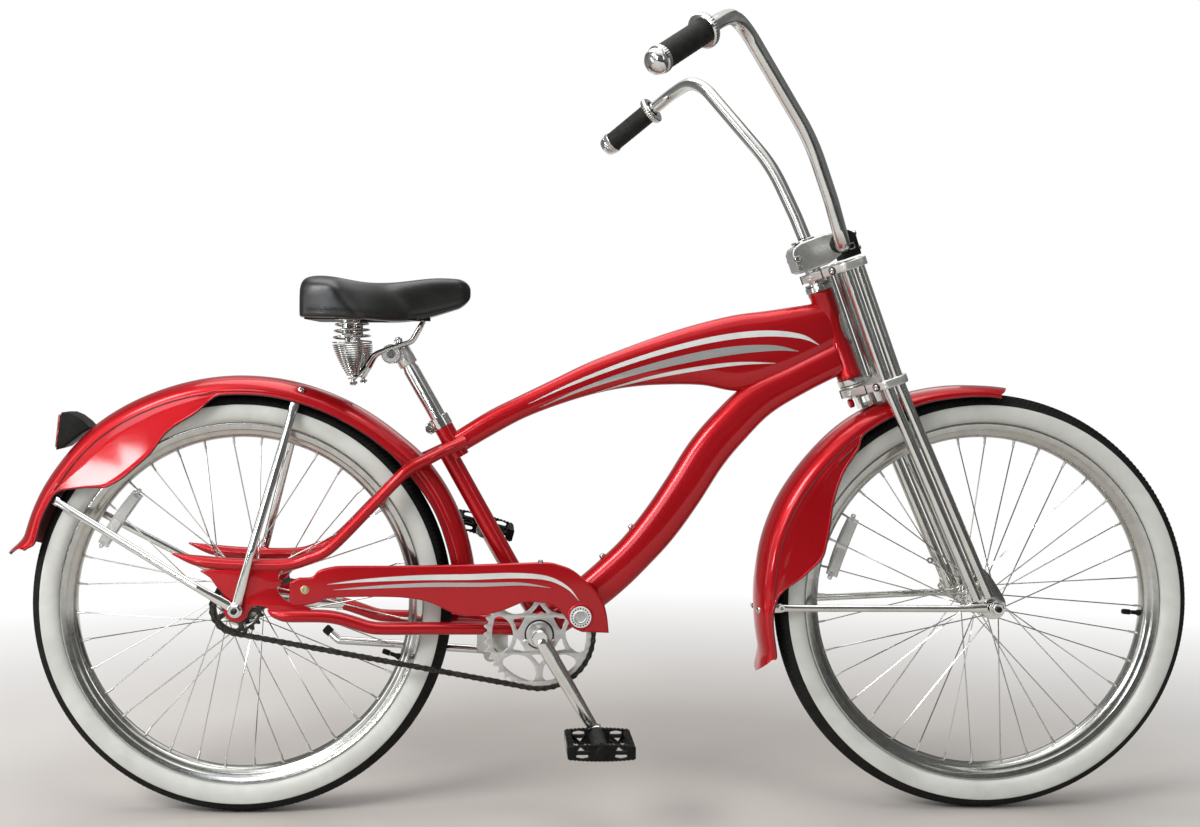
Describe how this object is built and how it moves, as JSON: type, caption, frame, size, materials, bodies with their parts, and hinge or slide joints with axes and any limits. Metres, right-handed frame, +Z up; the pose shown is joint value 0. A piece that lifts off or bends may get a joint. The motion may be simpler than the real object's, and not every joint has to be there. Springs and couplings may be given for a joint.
{
  "type": "chopper cruiser bicycle",
  "caption": "Chopper-style cruiser bicycle with a low curved frame, tall ape-hanger handlebar, double-crown twin-tube fork, deep fenders and a sprung saddle.",
  "frame": {"origin": "middle of the bicycle's footprint, on the floor that both tyres stand on", "axes": "+X forwards along the wheelbase, +Y to the rider's left, +Z up"},
  "size_m": [1.8814, 0.7026, 1.2178],
  "materials": {
    "paint": "gloss candy red",
    "chrome": "polished chrome plate",
    "brushed_alloy": "satin",
    "dark_steel": "dark oiled steel",
    "tyre": "black tread with white sidewalls",
    "grip_rubber": "matt",
    "black_plastic": "satin",
    "vinyl": "semi-gloss vinyl over foam"
  },
  "bodies": {
    "frame": {"head_tube": "paint", "down_tube": "paint", "top_tube": "paint", "bottom_bracket_shell": "paint", "seat_tube": "paint", "seat_binder_bolt": "chrome", "upper_stay_right": "paint", "upper_stay_left": "paint", "chainstay_right": "paint", "chainstay_left": "paint", "rear_fender": "paint", "rear_fender_stay_right": "chrome", "rear_fender_stay_left": "chrome", "middle_fender_stay_right": "chrome", "middle_fender_stay_left": "chrome", "tail_reflector": "black_plastic", "rear_axle": "chrome", "coaster_brake_arm": "chrome", "chain": "dark_steel", "chain_guard": "paint", "crank_bearing_ring": "chrome", "headset_upper_cup": "brushed_alloy", "headset_lower_cup": "brushed_alloy", "kickstand_bracket": "chrome"},
    "fork": {"steerer_tube": "chrome", "upper_crown": "brushed_alloy", "lower_crown": "brushed_alloy", "fork_leg_right": "chrome", "fork_leg_left": "chrome", "stem": "brushed_alloy", "stem_faceplate": "black_plastic", "front_fender": "paint", "front_fender_stay_right": "chrome", "front_fender_stay_left": "chrome", "front_fender_bracket": "brushed_alloy", "front_axle": "chrome"},
    "bars": {"handlebar": "chrome", "grip_left": "grip_rubber", "grip_right": "grip_rubber"},
    "front_wheel": {"front_tyre": "tyre", "front_rim": "chrome", "front_hub_and_spokes": "chrome"},
    "rear_wheel": {"rear_tyre": "tyre", "rear_rim": "chrome", "rear_hub_and_spokes": "chrome"},
    "crankset": {"crank": "chrome", "chainring": "chrome"},
    "sprocket": {"rear_sprocket": "dark_steel"},
    "right_pedal": {"pedal_right": "black_plastic"},
    "left_pedal": {"pedal_left": "black_plastic"},
    "kickstand": {"kickstand_leg": "chrome"},
    "seat_mast": {"seat_post": "chrome", "saddle_clamp": "dark_steel"},
    "saddle_rails": {"saddle_frame": "chrome", "saddle_lower_spring_right": "chrome", "saddle_lower_spring_left": "chrome"},
    "saddle_top": {"saddle_base": "black_plastic", "saddle_cushion": "vinyl", "saddle_upper_spring_right": "chrome", "saddle_upper_spring_left": "chrome"}
  },
  "joints": [
    {"name": "steering", "type": "hinge", "parent": "frame", "child": "fork", "pos_m": [0.3735, 0, 0.76], "axis": [-0.3322, 0, 0.9432], "range_deg": [-75, 75]},
    {"name": "handlebar_tilt", "type": "hinge", "parent": "fork", "child": "bars", "pos_m": [0.3735, 0, 0.9031], "axis": [0, 1, 0], "range_deg": [-10, 10]},
    {"name": "front_wheel_spin", "type": "hinge", "parent": "fork", "child": "front_wheel", "pos_m": [0.6085, 0, 0.33199], "axis": [0, 1, 0], "continuous": true},
    {"name": "rear_wheel_spin", "type": "hinge", "parent": "frame", "child": "rear_wheel", "pos_m": [-0.5715, 0, 0.33199], "axis": [0, 1, 0], "continuous": true},
    {"name": "crank_spin", "type": "hinge", "parent": "frame", "child": "crankset", "pos_m": [-0.1025, 0, 0.289], "axis": [0, 1, 0], "continuous": true},
    {"name": "sprocket_spin", "type": "hinge", "parent": "frame", "child": "sprocket", "pos_m": [-0.5715, 0, 0.33199], "axis": [0, 1, 0], "continuous": true},
    {"name": "pedal_right_spin", "type": "hinge", "parent": "crankset", "child": "right_pedal", "pos_m": [-0.01571, -0.1335, 0.14283], "axis": [0, 1, 0], "continuous": true},
    {"name": "pedal_left_spin", "type": "hinge", "parent": "crankset", "child": "left_pedal", "pos_m": [-0.18929, 0.1335, 0.43517], "axis": [0, 1, 0], "continuous": true},
    {"name": "kickstand_swing", "type": "hinge", "parent": "frame", "child": "kickstand", "pos_m": [-0.1795, 0.043, 0.242], "axis": [0.098, -0.9803, -0.1715], "range_deg": [0, 98]},
    {"name": "seat_post_height", "type": "slide", "parent": "frame", "child": "seat_mast", "axis": [-0.4879, 0, 0.8729], "range_m": [-0.01, 0.018]},
    {"name": "saddle_tilt", "type": "hinge", "parent": "seat_mast", "child": "saddle_rails", "pos_m": [-0.3365, 0, 0.7265], "axis": [0, 1, 0], "range_deg": [-8, 8]},
    {"name": "saddle_bounce", "type": "hinge", "parent": "saddle_rails", "child": "saddle_top", "pos_m": [-0.2825, 0, 0.7815], "axis": [0, -1, 0], "range_deg": [0, 4], "stiffness_Nm_per_rad": 700, "springref_deg": -0.17, "deforming": ["saddle_upper_spring_right", "saddle_upper_spring_left"]}
  ],
  "couplings": [
    {"joint": "sprocket_spin", "follows": "crank_spin", "ratio": 2.1}
  ]
}
